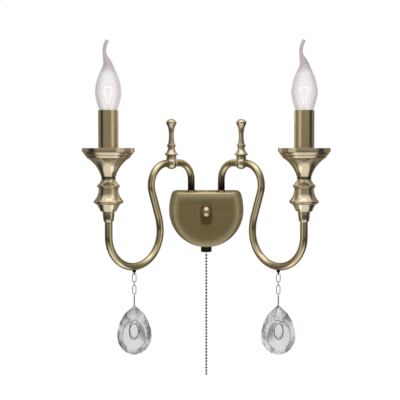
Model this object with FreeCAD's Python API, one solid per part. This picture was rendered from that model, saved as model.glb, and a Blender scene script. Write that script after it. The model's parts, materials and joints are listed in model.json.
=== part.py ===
import FreeCAD, Part
import math
import os

# Double arm wall light: a D-shaped back pan with a pull switch, two scroll arms at 45 degrees,
# each with a turned candle stand, a bent tip candle lamp and a faceted glass drop on links.
# Millimetres. X is to the right, -Y comes out from the wall and +Z is up.
# The origin lies on the wall, on the axis of the stud that holds the back pan.

# Fits
running_fit = 0.06          # radial gap of a thread, pin or rod in its hole
clearance_hole = 0.25       # radial gap of a hole that a tube or stud only passes through
hanging_gap = 0.08          # gap between a link and the wire it hangs on
seat_gap = 0.05             # gap under a piece that is screwed down on a ball or a face
socket_gap = 0.15           # gap between parts that slip over each other
reach = 5.0                 # how far a cutting tool runs past the face it cuts
edge_tolerance = 0.001      # how near a plane an edge lies to count as lying in it
wire_side_count = 6         # flats round a thin wire, link or lead
bead_side_count = 8         # flats round a chain bead

# Back pan
pan_half_width = 54.6
pan_top = 29.2
pan_bottom = 55.0
pan_depth = 26.0
pan_wall = 1.2
pan_corner_radius = 8.0
pan_shoulder_radius = 84.0
pan_side_draft = 5.0
pan_top_draft = 2.2
pan_bottom_draft = 3.6
pan_edge_radius = 4.0

# Wall bracket
strap_half_length = 42.0
strap_height = 14.0
strap_thickness = 2.0
strap_standoff = 4.0
strap_foot_start = 21.0
strap_joggle = 4.0
slot_spacing = 60.0
slot_length = 14.0
slot_width = 4.6

# Stud and ball knob
stud_radius = 2.0
stud_head_radius = 3.6
stud_head_height = 2.5
stud_reach_in_knob = 7.0
stud_nut_across_flats = 7.0
stud_nut_height = 3.2
knob_radius = 7.8
knob_seat_radius = 4.4

# Terminal block and leads
block_left = 7.0
block_length = 24.0
block_height = 12.0
block_depth = 12.5
block_post_height = 1.2
block_post_radius = 2.2
block_post_inset = 6.0
block_screw_radius = 1.3
block_screw_height = 1.6
block_screw_row = 3.0
arm_lead_radius = 2.1
arm_lead_bend = 7.0
switch_lead_radius = 1.5
switch_lead_side = 8.0

# Arms
tube_radius = 5.0
tube_wall = 1.0
arm_angle = 45.0
root_spacing = 43.5
root_depth = 14.5
root_bend_height = 45.5
root_bend_radius = 24.0
ball_reach = 38.7
shoulder_reach = 46.0
shoulder_radius = 30.0
leg_length = 34.41
bowl_radius = 44.6
bowl_height = -24.5
back_bend_radius = 69.0
tube_top = 3.0
ball_radius = 8.6
ball_socket_depth = 4.6

# Fixings at the arm roots
collar_radius = 7.2
collar_height = 1.8
lock_washer_radius = 8.2
lock_washer_height = 1.6
root_nut_across_flats = 15.0
root_nut_height = 3.5
root_tail = 1.5

# Finials: each height is that of one member, from the foot on the ball to the dome
finial_foot_radius = 7.2
finial_foot_sink = 3.5
finial_foot_height = 3.7
finial_groove_radius = 6.6
finial_groove_height = 1.8
finial_disc_radius = 9.6
finial_disc_height = 2.0
finial_cone_height = 8.4
finial_neck_radius = 4.8
finial_neck_height = 1.3
finial_ring_radius = 6.2
finial_ring_height = 3.9
finial_shaft_radius = 4.9
finial_shaft_height = 24.4
finial_flare_height = 5.2
finial_knob_radius = 7.5
finial_knob_height = 1.8
finial_dome_height = 4.3
finial_rim = 0.8
finial_cone_hollow = 0.85
finial_shaft_hollow = 1.4
finial_screw_radius = 2.0
finial_screw_length = 3.0

# Candle stand: each piece stands on the one below
ferrule_start = -5.4
ferrule_height = 13.8
ferrule_foot_radius = 5.9
ferrule_waist_radius = 7.2
ferrule_waist_height = 4.5
ferrule_top_radius = 8.0
ferrule_bulge = 0.25
cup_height = 9.5
cup_foot_radius = 10.7
cup_waist_radius = 11.1
cup_waist_height = 1.2
cup_rim_radius = 15.4
cup_cove = 0.3
bell_height = 35.7
bell_foot_radius = 16.6
bell_lip_radius = 19.2
bell_lip_height = 2.0
bell_lip_rim = 1.7
bell_waist_radius = 12.7
bell_waist_height = 17.6
bell_ring_foot = 20.6
bell_ring_radius = 14.7
bell_ring_height = 24.0
bell_ring_rim = 1.7
bell_shoulder_radius = 12.1
bell_shoulder_height = 26.4
bell_neck_radius = 9.4
bell_neck_height = 30.7
bell_cove = 1.35
bell_groove = 0.6
bell_groove_pitch = 2.6
stand_wall = 1.4
nipple_radius = 5.0
nipple_wall = 1.2
nipple_thread_in_holder = 12.0

# Drip pan
drip_height = 37.0
drip_foot_radius = 9.5
drip_flare_radius = 26.3
drip_flare_height = 23.4
drip_flare_hollow = 2.5
drip_bead_radius = 29.4
drip_bead_height = 27.2
drip_shoulder_radius = 32.4
drip_shoulder_height = 31.6
drip_rim_radius = 33.9
drip_bead_bulge = 0.6
drip_wall = 1.2
drip_floor_height = 6.9

# Lamp holder and candle tube
candle_radius = 13.0
candle_wall = 0.9
candle_top = 139.5
candle_ledge_height = 3.5
holder_radius = 11.3
holder_height = 66.5
holder_floor_height = 35.0
holder_floor_thickness = 2.0
contact_head_radius = 3.2
contact_head_height = 0.8
contact_rod_radius = 1.4
contact_tail = 1.2

# Lamp: heights above the tip of its contact
lamp_contact_above_floor = 3.5
lamp_contact_radius = 2.2
lamp_contact_height = 1.2
cap_radius = 6.95
cap_cone_height = 3.4
cap_height = 24.0
cap_wall = 0.4
glass_wall = 0.8
glass_neck_radius = 6.2
glass_neck_start = 15.5
glass_throat_height = 26.0
glass_throat_radius = 6.6
glass_flare_height = 38.9
glass_flare_radius = 11.6
glass_belly_height = 62.3
glass_belly_radius = 17.5
glass_shoulder_height = 93.5
glass_shoulder_radius = 8.0
glass_lower_bulge = 0.9
glass_upper_bulge = 1.7
glass_throat_hollow = 0.7
tail_first_bend = 26.5
tail_second_bend = 26.0
tail_first_turn = 24.4
tail_second_turn = 57.9
tail_radius = 2.45
tail_tip_radius = 1.5
tail_taper = 1.35
tail_taper_length = 20.0
tail_sections = 4
tail_steps = 7
tail_bore_share = 0.45
stem_foot_radius = 5.0
stem_foot_height = 2.5
stem_neck_radius = 2.2
stem_neck_height = 12.0
stem_hollow = 1.2
stem_top_height = 33.0
filament_wire_radius = 0.3
filament_half_width = 6.0
filament_half_foot = 1.1
filament_height = 20.0
filament_corner = 2.5

# Glass drops and their links
hook_radius = 3.0
hook_wire_radius = 0.65
hook_stem_radius = 1.1
hook_stem_sink = 2.2
hook_drop = 0.4
hook_shift = 1.9
hook_collar_radius = 2.4
hook_collar_height = 2.6
link_wire_radius = 0.55
upper_link_half_width = 3.0
upper_link_height = 12.3
link_ring_radius = 3.85
lower_link_half_width = 2.8
lower_link_height = 13.3
pin_wire_radius = 0.5
pin_half_width = 4.3
pin_height = 20.5
pin_foot_bend = 1.2
crystal_belly_radius = 23.1
crystal_foot_depth = 25.1
crystal_side_radius = 50.3
crystal_sides = 16
crystal_girdle = 1.0
crystal_crown_share = 0.66
crystal_crown_depth = 5.2
crystal_table_depth = 7.0
crystal_table_half_width = 6.9
crystal_table_half_height = 11.75
crystal_table_rise = 8.1
crystal_hole_radius = 1.0
crystal_hole_from_top = 4.0

# Pull switch and bead chain
switch_width = 18.0
switch_body_depth = 15.0
switch_body_height = 24.0
switch_body_bottom = -45.0
switch_neck_radius = 4.2
switch_neck_end = -55.2
switch_chamber_radius = 4.4
switch_chamber_floor = 2.0
switch_chamber_height = 19.0
switch_collar_radius = 7.8
switch_collar_bottom = -59.3
switch_mouth_radius = 3.5
switch_throat_radius = 2.3
plunger_rod_radius = 1.5
plunger_head_radius = 4.0
plunger_head_height = 1.5
plunger_ball_height = -57.2
spring_radius = 3.1
spring_wire_radius = 0.4
spring_turns = 6
spring_side_count = 4
bead_radius = 1.65
bead_pitch = 4.56
bead_link_radius = 0.45
bead_gap = 0.25
bead_latitude = 26.0
first_bead_height = -64.6
beads_per_length = 13

up = FreeCAD.Vector(0, 0, 1)
out = FreeCAD.Vector(0, -1, 0)
across = FreeCAD.Vector(1, 0, 0)
sides = (("left", -1), ("right", 1))
arm_turn = math.radians(arm_angle)


# ---------------------------------------------------------------- helpers

def place(x, depth, height):
    return FreeCAD.Vector(x, -depth, height)


def save(shape, node):
    shape.exportStep("parts/" + node + ".step")


def rod(radius, start, end):
    return Part.makeCylinder(radius, (end - start).Length, start, end - start)


def upright(radius, low, high):
    return Part.makeCylinder(radius, high - low, FreeCAD.Vector(0, 0, low))


def hexagon(across_flats, height, base, direction):
    corner = across_flats / math.sqrt(3.0)
    points = [FreeCAD.Vector(corner * math.cos(math.radians(60 * k)),
                             corner * math.sin(math.radians(60 * k)), 0) for k in range(7)]
    prism = Part.Face(Part.makePolygon(points)).extrude(up * height)
    prism.Placement = FreeCAD.Placement(base, FreeCAD.Rotation(up, direction))
    return prism


def side_edges(points):
    # Each point is radius, height and the bulge of the side that leads to it: on a side that
    # runs upwards a positive bulge swells away from the axis and a negative one is hollow.
    edges = []
    for before, after in zip(points[:-1], points[1:]):
        start = FreeCAD.Vector(before[0], 0, before[1])
        end = FreeCAD.Vector(after[0], 0, after[1])
        bulge = after[2] if len(after) > 2 else 0.0
        if bulge == 0.0:
            edges.append(Part.LineSegment(start, end).toShape())
            continue
        along = (end - start).normalize()
        outward = FreeCAD.Vector(along.z, 0, -along.x)
        edges.append(Part.Arc(start, (start + end) / 2 + outward * bulge, end).toShape())
    return edges


def turned(points):
    edges = side_edges(points + [points[0][:2]])
    return Part.Face(Part.Wire(edges)).revolve(FreeCAD.Vector(0, 0, 0), up, 360)


def dome(radius, height):
    # Bulge of the side that rises from a rim to the axis on a sphere centred on the axis.
    sphere = (radius ** 2 + height ** 2) / (2 * height)
    return sphere - math.sqrt(sphere ** 2 - (radius ** 2 + height ** 2) / 4)


def turned_on_axis(points):
    return turned([(0.0, points[0][1])] + points + [(0.0, points[-1][1])])


def swept(path, radius, flats=0):
    # A bar along a path of lines and arcs that meet in a tangent: round, or with so many flats.
    edge = path[0]
    start = edge.valueAt(edge.FirstParameter)
    heading = edge.tangentAt(edge.FirstParameter)
    circle = Part.Circle(start, heading, radius)
    section = Part.Wire(circle.toShape())
    if flats:
        corners = [circle.value(2 * math.pi * k / flats) for k in range(flats + 1)]
        section = Part.makePolygon(corners)
    return Part.Wire(path).makePipeShell([section], True, False)


def line(start, end):
    return Part.LineSegment(start, end).toShape()


def arc(start, middle, end):
    return Part.Arc(start, middle, end).toShape()


def rounded_path(points, bend):
    # Straight runs from point to point, with a tangent arc of radius bend at each one between.
    edges = []
    start = points[0]
    for before, corner, after in zip(points, points[1:], points[2:]):
        back = (before - corner).normalize()
        ahead = (after - corner).normalize()
        half = back.getAngle(ahead) / 2
        first = corner + back * (bend / math.tan(half))
        last = corner + ahead * (bend / math.tan(half))
        middle = corner + (back + ahead).normalize() * (bend / math.sin(half) - bend)
        edges.append(line(start, first))
        edges.append(arc(first, middle, last))
        start = last
    edges.append(line(start, points[-1]))
    return edges


def moved(shape, position):
    copy = shape.copy()
    copy.translate(position)
    return copy


# ---------------------------------------------------------------- back pan

def pan_outline(depth, wall):
    share = depth / pan_depth
    half = pan_half_width - pan_side_draft * share - wall
    top = pan_top - pan_top_draft * share - wall
    bottom = -(pan_bottom - pan_bottom_draft * share - wall)
    corner = pan_corner_radius - wall
    shoulder = pan_shoulder_radius - wall
    level = bottom + half
    shoulder_x = half - shoulder
    corner_z = top - corner
    corner_x = shoulder_x + math.sqrt((shoulder - corner) ** 2 - (corner_z - level) ** 2)
    slope = math.atan2(corner_z - level, corner_x - shoulder_x)

    def corner_point(angle):
        return corner_x + corner * math.cos(angle), corner_z + corner * math.sin(angle)

    def shoulder_point(angle):
        return shoulder_x + shoulder * math.cos(angle), level + shoulder * math.sin(angle)

    corner_middle = corner_point((slope + math.pi / 2) / 2)
    corner_end = corner_point(slope)
    shoulder_middle = shoulder_point(slope / 2)

    def at(point, side):
        return place(side * point[0], depth, point[1])

    low = place(0, depth, bottom)
    edges = [line(at((corner_x, top), -1), at((corner_x, top), 1)),
             arc(at((corner_x, top), 1), at(corner_middle, 1), at(corner_end, 1)),
             arc(at(corner_end, 1), at(shoulder_middle, 1), at((half, level), 1)),
             arc(at((half, level), 1), low, at((half, level), -1)),
             arc(at((half, level), -1), at(shoulder_middle, -1), at(corner_end, -1)),
             arc(at(corner_end, -1), at(corner_middle, -1), at((corner_x, top), -1))]
    return Part.Wire(edges)


def pan_body(back, front, wall, edge_radius):
    body = Part.makeLoft([pan_outline(back, wall), pan_outline(front, wall)], True, True)
    rim = [edge for edge in body.Edges if edge.BoundBox.YMax < edge_tolerance - front]
    return body.makeFillet(edge_radius, rim)


def pan_top_at(depth):
    return pan_top - pan_top_draft * depth / pan_depth


pan_outside = pan_body(0.0, pan_depth, 0.0, pan_edge_radius)
pan_inside = pan_body(-reach, pan_depth - pan_wall, pan_wall, pan_edge_radius - pan_wall)


def root_x(side):
    return side * root_spacing / 2


backplate = pan_outside.cut(pan_inside)
for _, side in sides:
    root_hole = rod(tube_radius + clearance_hole, place(root_x(side), root_depth, 0),
                    place(root_x(side), root_depth, pan_top + reach))
    backplate = backplate.cut(root_hole)
stud_hole = rod(stud_radius + clearance_hole, place(0, pan_depth - pan_wall - reach, 0),
                place(0, pan_depth + reach, 0))
switch_hole = rod(switch_neck_radius + clearance_hole, place(0, root_depth, switch_body_bottom),
                  place(0, root_depth, -pan_bottom - reach))
backplate = backplate.cut(stud_hole).cut(switch_hole)
save(backplate, "backplate")


# ---------------------------------------------------------------- wall bracket, stud and knob

def strap_side(side):
    foot_end = strap_foot_start
    rise = strap_foot_start - strap_joggle
    return [(side * rise, strap_standoff), (side * foot_end, 0.0), (side * strap_half_length, 0.0),
            (side * strap_half_length, strap_thickness), (side * foot_end, strap_thickness),
            (side * rise, strap_standoff + strap_thickness)]


strap_points = strap_side(1) + strap_side(-1)[::-1]
strap_ring = [place(x, depth, -strap_height / 2) for x, depth in strap_points]
strap = Part.Face(Part.makePolygon(strap_ring + strap_ring[:1])).extrude(up * strap_height)
for _, side in sides:
    half_straight = slot_length / 2 - slot_width / 2
    centre = side * slot_spacing / 2
    strap = strap.cut(Part.makeBox(2 * half_straight, 2 * reach, slot_width,
                                   place(centre - half_straight, reach, -slot_width / 2)))
    for end in (-1, 1):
        strap = strap.cut(rod(slot_width / 2, place(centre + end * half_straight, -reach, 0),
                              place(centre + end * half_straight, reach, 0)))
strap = strap.cut(rod(stud_radius + running_fit, place(0, 0, 0), place(0, strap_standoff + reach, 0)))

strap_front = strap_standoff + strap_thickness
block_right = block_left + block_length
for x in (block_left + block_post_inset, block_right - block_post_inset):
    post_hole = rod(block_post_radius, place(x, strap_standoff - reach, 0),
                    place(x, strap_front + reach, 0))
    strap = strap.cut(post_hole)
save(strap, "wall_bracket")

stud_end = pan_depth + stud_reach_in_knob
stud = rod(stud_radius, place(0, strap_standoff, 0), place(0, stud_end, 0))
stud = stud.fuse(rod(stud_head_radius, place(0, strap_standoff - stud_head_height, 0),
                     place(0, strap_standoff, 0)))
save(stud.removeSplitter(), "bracket_stud")

stud_nut = hexagon(stud_nut_across_flats, stud_nut_height, place(0, strap_front, 0), out)
stud_nut = stud_nut.cut(rod(stud_radius + running_fit, place(0, 0, 0), place(0, stud_end, 0)))
save(stud_nut, "bracket_nut")

knob_middle = pan_depth + seat_gap + math.sqrt(knob_radius ** 2 - knob_seat_radius ** 2)
knob = Part.makeSphere(knob_radius, place(0, knob_middle, 0))
knob = knob.cut(rod(2 * knob_radius, place(0, 0, 0), place(0, pan_depth + seat_gap, 0)))
knob = knob.cut(rod(stud_radius + running_fit, place(0, 0, 0), place(0, stud_end + seat_gap, 0)))
save(knob, "plate_knob")


# ---------------------------------------------------------------- terminal block

block = Part.makeBox(block_length, block_depth, block_height,
                     place(block_left, strap_front + block_depth, -block_height / 2))
for x in (block_left + block_post_inset, block_right - block_post_inset):
    block = block.fuse(rod(block_post_radius - running_fit, place(x, strap_front - block_post_height, 0),
                           place(x, strap_front, 0)))
block_front = strap_front + block_depth
block_screws = []
for x in (block_left + block_post_inset, block_right - block_post_inset):
    for row in (-1, 1):
        head = place(x, block_front, row * block_screw_row)
        block_screws.append(rod(block_screw_radius, head, head + out * block_screw_height))
save(block.removeSplitter(), "terminal_block")
save(Part.makeCompound(block_screws), "terminal_screws")


# ---------------------------------------------------------------- arms

def arm_point(side, reach_out, height):
    return place(root_x(side) + side * reach_out * math.cos(arm_turn),
                 root_depth + reach_out * math.sin(arm_turn), height)


arch_height = root_bend_height + root_bend_radius
shoulder_level = arch_height - shoulder_radius

# The straight slanting leg is the inner tangent of the shoulder's circle and the back bend's.
between = math.hypot(shoulder_radius + back_bend_radius, leg_length)
back_bend_reach = shoulder_reach + math.sqrt(between ** 2 - (bowl_height - shoulder_level) ** 2)
bowl_reach = back_bend_reach - back_bend_radius + bowl_radius
candle_reach = bowl_reach + bowl_radius
hang_reach = bowl_reach + hook_shift
facing = math.atan2(bowl_height - shoulder_level, back_bend_reach - shoulder_reach)
lean = facing + math.acos((shoulder_radius + back_bend_radius) / between)


def arm_arc(side, centre, radius, first, last):
    def at(angle):
        return arm_point(side, centre[0] + radius * math.cos(angle), centre[1] + radius * math.sin(angle))
    return arc(at(first), at((first + last) / 2), at(last))


def arch_path(side, low, end):
    return [line(arm_point(side, 0, low), arm_point(side, 0, root_bend_height)),
            arm_arc(side, (root_bend_radius, root_bend_height), root_bend_radius, math.pi, math.pi / 2),
            line(arm_point(side, root_bend_radius, arch_height), arm_point(side, end, arch_height))]


def scroll_path(side, start, top):
    shoulder = arm_arc(side, (shoulder_reach, shoulder_level), shoulder_radius, math.pi / 2, lean)
    back_bend = arm_arc(side, (back_bend_reach, bowl_height), back_bend_radius, lean + math.pi, math.pi)
    bowl = arm_arc(side, (bowl_reach, bowl_height), bowl_radius, math.pi, 2 * math.pi)
    return [line(arm_point(side, start, arch_height), arm_point(side, shoulder_reach, arch_height)),
            shoulder,
            line(shoulder.valueAt(shoulder.LastParameter), back_bend.valueAt(back_bend.FirstParameter)),
            back_bend,
            bowl,
            line(arm_point(side, candle_reach, bowl_height), arm_point(side, candle_reach, top))]


collar_seat = pan_top_at(root_depth)
washer_bottom = collar_seat - pan_wall - lock_washer_height
nut_bottom = washer_bottom - root_nut_height
root_end = nut_bottom - root_tail
bore_radius = tube_radius - tube_wall
ball_socket = ball_radius - ball_socket_depth

collars = []
lock_washers = []
root_nuts = []
for name, side in sides:
    root_tube = swept(arch_path(side, root_end, ball_reach - ball_socket), tube_radius)
    save(root_tube.cut(swept(arch_path(side, root_end, ball_reach - ball_socket), bore_radius)),
         name + "_root_tube")

    scroll = swept(scroll_path(side, ball_reach + ball_socket, tube_top), tube_radius)
    scroll = scroll.cut(swept(scroll_path(side, ball_reach + ball_socket, tube_top), bore_radius))
    hook_hole = rod(hook_stem_radius + running_fit, arm_point(side, hang_reach, bowl_height - bowl_radius),
                    arm_point(side, hang_reach, bowl_height - bowl_radius - tube_radius - reach))
    save(scroll.cut(hook_hole), name + "_scroll_tube")

    ball_middle = arm_point(side, ball_reach, arch_height)
    ball = Part.makeSphere(ball_radius, ball_middle)
    ball = ball.cut(rod(bore_radius, arm_point(side, ball_reach - ball_radius, arch_height),
                        arm_point(side, ball_reach + ball_radius, arch_height)))
    for turn in (-1, 1):
        socket_floor_point = arm_point(side, ball_reach + turn * ball_socket, arch_height)
        socket_mouth_point = arm_point(side, ball_reach + turn * 2 * ball_radius, arch_height)
        ball = ball.cut(rod(tube_radius + running_fit, socket_floor_point, socket_mouth_point))
    screw_hole = rod(finial_screw_radius + running_fit, ball_middle,
                     ball_middle + up * (ball_radius + reach))
    save(ball.cut(screw_hole), name + "_junction_ball")

    root_low = place(root_x(side), root_depth, 0)
    root_high = place(root_x(side), root_depth, pan_top + reach)
    collar = rod(collar_radius, root_low, place(root_x(side), root_depth, collar_seat + collar_height))
    collar = collar.cut(pan_outside)
    collars.append(collar.cut(rod(tube_radius + running_fit, root_low, root_high)))
    washer = rod(lock_washer_radius, place(root_x(side), root_depth, washer_bottom), root_high)
    washer = washer.common(pan_inside)
    lock_washers.append(washer.cut(rod(tube_radius + running_fit, root_low, root_high)))
    nut = hexagon(root_nut_across_flats, root_nut_height, place(root_x(side), root_depth, nut_bottom), up)
    root_nuts.append(nut.cut(rod(tube_radius + running_fit, root_low, root_high)))

save(Part.makeCompound(collars), "arm_collars")
save(Part.makeCompound(lock_washers), "lock_washers")
save(Part.makeCompound(root_nuts), "root_nuts")


# ---------------------------------------------------------------- finials

screw_start = ball_radius - finial_screw_length
foot_start = ball_radius - finial_foot_sink
foot_top = foot_start + finial_foot_height
disc_start = foot_top + finial_groove_height
disc_top = disc_start + finial_disc_height
cone_top = disc_top + finial_cone_height
ring_start = cone_top + finial_neck_height
ring_top = ring_start + finial_ring_height
shaft_top = ring_top + finial_shaft_height
knob_start = shaft_top + finial_flare_height
knob_top = knob_start + finial_knob_height
finial = turned([(0.0, screw_start),
                 (finial_screw_radius, screw_start),
                 (finial_screw_radius, foot_start),
                 (finial_foot_radius, foot_start),
                 (finial_foot_radius, foot_top),
                 (finial_groove_radius, foot_top),
                 (finial_groove_radius, disc_start),
                 (finial_disc_radius, disc_start + finial_rim),
                 (finial_disc_radius, disc_top),
                 (finial_neck_radius, cone_top, -finial_cone_hollow),
                 (finial_neck_radius, ring_start),
                 (finial_ring_radius, ring_start + finial_rim),
                 (finial_ring_radius, ring_top),
                 (finial_shaft_radius, ring_top),
                 (finial_shaft_radius, shaft_top, -finial_shaft_hollow),
                 (finial_knob_radius, knob_start),
                 (finial_knob_radius, knob_top),
                 (0.0, knob_top + finial_dome_height, dome(finial_knob_radius, finial_dome_height))])
finial_seat = Part.makeSphere(ball_radius + seat_gap)
finial = finial.cut(finial_seat).fuse(upright(finial_screw_radius, screw_start, foot_top))
finial = finial.removeSplitter()
for name, side in sides:
    save(moved(finial, arm_point(side, ball_reach, arch_height)), name + "_finial")


# ---------------------------------------------------------------- candle stands

cup_start = ferrule_start + ferrule_height
bell_start = cup_start + cup_height
drip_start = bell_start + bell_height
drip_top = drip_start + drip_height
drip_floor = drip_start + drip_floor_height
thread_bore = upright(nipple_radius + running_fit, ferrule_start - reach, drip_floor + reach)

ferrule = turned_on_axis([(ferrule_foot_radius, ferrule_start),
                          (ferrule_waist_radius, ferrule_start + ferrule_waist_height, ferrule_bulge),
                          (ferrule_top_radius, cup_start)])
ferrule = ferrule.cut(thread_bore)

cup = turned_on_axis([(cup_foot_radius, cup_start),
                      (cup_waist_radius, cup_start + cup_waist_height),
                      (cup_rim_radius, bell_start, -cup_cove)])
cup = cup.cut(upright(cup_foot_radius - stand_wall, cup_start + stand_wall, bell_start + reach))
cup = cup.cut(thread_bore)

neck_rings = []
for groove in (drip_start - bell_groove_pitch, drip_start - bell_groove):
    neck_rings.append((bell_neck_radius, groove - bell_groove))
    neck_rings.append((bell_neck_radius - bell_groove, groove))
    neck_rings.append((bell_neck_radius, groove + bell_groove))
bell = turned_on_axis([(bell_foot_radius, bell_start),
                       (bell_lip_radius, bell_start + bell_lip_height),
                       (bell_lip_radius, bell_start + bell_lip_height + bell_lip_rim),
                       (bell_waist_radius, bell_start + bell_waist_height, -bell_cove),
                       (bell_waist_radius, bell_start + bell_ring_foot),
                       (bell_ring_radius, bell_start + bell_ring_height - bell_ring_rim),
                       (bell_ring_radius, bell_start + bell_ring_height),
                       (bell_shoulder_radius, bell_start + bell_shoulder_height),
                       (bell_neck_radius, bell_start + bell_neck_height)] + neck_rings)
bell_hollow_top = bell_start + bell_ring_height - stand_wall
bell = bell.cut(upright(bell_waist_radius - stand_wall, bell_start - reach, bell_hollow_top))
bell = bell.cut(thread_bore)

drip_inside_foot = candle_radius + socket_gap
ledge = drip_floor + candle_ledge_height
drip_pan = turned([(nipple_radius + running_fit, drip_start),
                   (drip_foot_radius, drip_start),
                   (drip_flare_radius, drip_start + drip_flare_height, -drip_flare_hollow),
                   (drip_bead_radius, drip_start + drip_bead_height, drip_bead_bulge),
                   (drip_shoulder_radius, drip_start + drip_shoulder_height, drip_bead_bulge),
                   (drip_rim_radius, drip_start + drip_shoulder_height),
                   (drip_rim_radius, drip_top),
                   (drip_rim_radius - drip_wall, drip_top),
                   (drip_shoulder_radius - drip_wall, drip_start + drip_shoulder_height),
                   (drip_flare_radius - drip_wall, drip_start + drip_flare_height),
                   (drip_inside_foot, ledge, drip_flare_hollow - drip_wall / 2),
                   (holder_radius + socket_gap, ledge),
                   (holder_radius + socket_gap, drip_floor),
                   (nipple_radius + running_fit, drip_floor)])

nipple_top = drip_floor + nipple_thread_in_holder
nipple = upright(nipple_radius, tube_top, nipple_top)
nipple = nipple.cut(upright(nipple_radius - nipple_wall, tube_top - reach, nipple_top + reach))

candle_tube = upright(candle_radius, ledge, candle_top)
candle_tube = candle_tube.cut(upright(candle_radius - candle_wall, ledge - reach, candle_top + reach))


# ---------------------------------------------------------------- lamp holder

holder_floor = drip_floor + holder_floor_height
socket_floor = holder_floor + holder_floor_thickness
holder_top = drip_floor + holder_height
holder = upright(holder_radius, drip_floor, holder_top)
holder = holder.cut(upright(nipple_radius + running_fit, drip_floor - reach, holder_floor))
holder = holder.cut(upright(cap_radius + running_fit, socket_floor, holder_top + reach))
holder = holder.cut(upright(contact_rod_radius + running_fit, drip_floor, holder_top))

lamp_start = socket_floor + lamp_contact_above_floor
contact = turned_on_axis([(contact_rod_radius, holder_floor - contact_tail),
                          (contact_rod_radius, socket_floor),
                          (contact_head_radius, socket_floor),
                          (contact_head_radius, socket_floor + contact_head_height),
                          (contact_rod_radius, socket_floor + contact_head_height),
                          (contact_rod_radius, lamp_start - seat_gap)])


# ---------------------------------------------------------------- lamp

cap_top = lamp_start + cap_height
cap_shell_start = lamp_start + lamp_contact_height + cap_cone_height
cap = turned_on_axis([(lamp_contact_radius, lamp_start),
                      (lamp_contact_radius, lamp_start + lamp_contact_height),
                      (cap_radius, cap_shell_start),
                      (cap_radius, cap_top)])
neck_start = lamp_start + glass_neck_start
cap = cap.cut(upright(cap_radius - cap_wall, neck_start, cap_top + reach))

shoulder_height = lamp_start + glass_shoulder_height


def glass_outline(thinner):
    return [(glass_neck_radius - thinner, neck_start),
            (glass_neck_radius - thinner, cap_top),
            (glass_throat_radius - thinner, lamp_start + glass_throat_height),
            (glass_flare_radius - thinner, lamp_start + glass_flare_height, -glass_throat_hollow),
            (glass_belly_radius - thinner, lamp_start + glass_belly_height, glass_lower_bulge),
            (glass_shoulder_radius - thinner, shoulder_height, glass_upper_bulge)]


def tail_section(turn, thinner):
    # Two bends in one plane: the first leans the tail to the left, the second brings it back.
    first = math.radians(min(turn, tail_first_turn))
    second = math.radians(max(turn - tail_first_turn, 0.0))
    kink = math.radians(tail_first_turn)
    x = -tail_first_bend * (1 - math.cos(first))
    z = tail_first_bend * math.sin(first)
    x = x - tail_second_bend * (math.cos(kink - second) - math.cos(kink))
    z = z + tail_second_bend * (math.sin(kink) - math.sin(kink - second))
    lean_left = first - second
    run = tail_first_bend * first + tail_second_bend * second
    left_over = max(1 - run / tail_taper_length, 0.0)
    radius = tail_radius + (glass_shoulder_radius - tail_radius) * left_over ** tail_taper
    if turn >= tail_first_turn + tail_second_turn:
        radius = tail_tip_radius
    middle = FreeCAD.Vector(x, 0, shoulder_height + z)
    heading = FreeCAD.Vector(-math.sin(lean_left), 0, math.cos(lean_left))
    return Part.Wire(Part.Circle(middle, heading, radius - thinner).toShape())


def tail_turns(share):
    first = [tail_first_turn * k / tail_sections for k in range(tail_sections)]
    second = [tail_first_turn + tail_second_turn * share * k / tail_steps for k in range(tail_steps + 1)]
    return first + second


def glass_form(thinner, tail_share):
    tail = Part.makeLoft([tail_section(turn, thinner) for turn in tail_turns(tail_share)], True, False)
    return turned_on_axis(glass_outline(thinner)).fuse(tail)


glass = glass_form(0.0, 1.0).cut(glass_form(glass_wall, tail_bore_share))

stem_start = neck_start + glass_wall
stem_top = neck_start + stem_top_height
stem = turned_on_axis([(stem_foot_radius, stem_start),
                       (stem_foot_radius, stem_start + stem_foot_height),
                       (stem_neck_radius, stem_start + stem_neck_height, -stem_hollow),
                       (stem_neck_radius, stem_top)])

filament_foot = stem_top + seat_gap
filament_top = filament_foot + filament_height
filament_points = [FreeCAD.Vector(-filament_half_foot, 0, filament_foot),
                   FreeCAD.Vector(-filament_half_width, 0, filament_top),
                   FreeCAD.Vector(filament_half_width, 0, filament_top),
                   FreeCAD.Vector(filament_half_foot, 0, filament_foot)]
filament = swept(rounded_path(filament_points, filament_corner), filament_wire_radius, wire_side_count)

nipples = []
contacts = []
for name, side in sides:
    stand = arm_point(side, candle_reach, 0)
    save(moved(ferrule, stand), name + "_ferrule")
    save(moved(cup, stand), name + "_cup")
    save(moved(bell, stand), name + "_bell")
    save(moved(drip_pan, stand), name + "_drip_pan")
    save(moved(candle_tube, stand), name + "_candle_tube")
    save(moved(holder, stand), name + "_lampholder")
    save(moved(cap, stand), name + "_bulb_cap")
    save(moved(glass, stand), name + "_bulb_glass")
    save(moved(stem, stand), name + "_bulb_stem")
    save(moved(filament, stand), name + "_filament")
    nipples.append(moved(nipple, stand))
    contacts.append(moved(contact, stand))
save(Part.makeCompound(nipples), "candle_nipples")
save(Part.makeCompound(contacts), "holder_contacts")


# ---------------------------------------------------------------- leads

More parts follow.
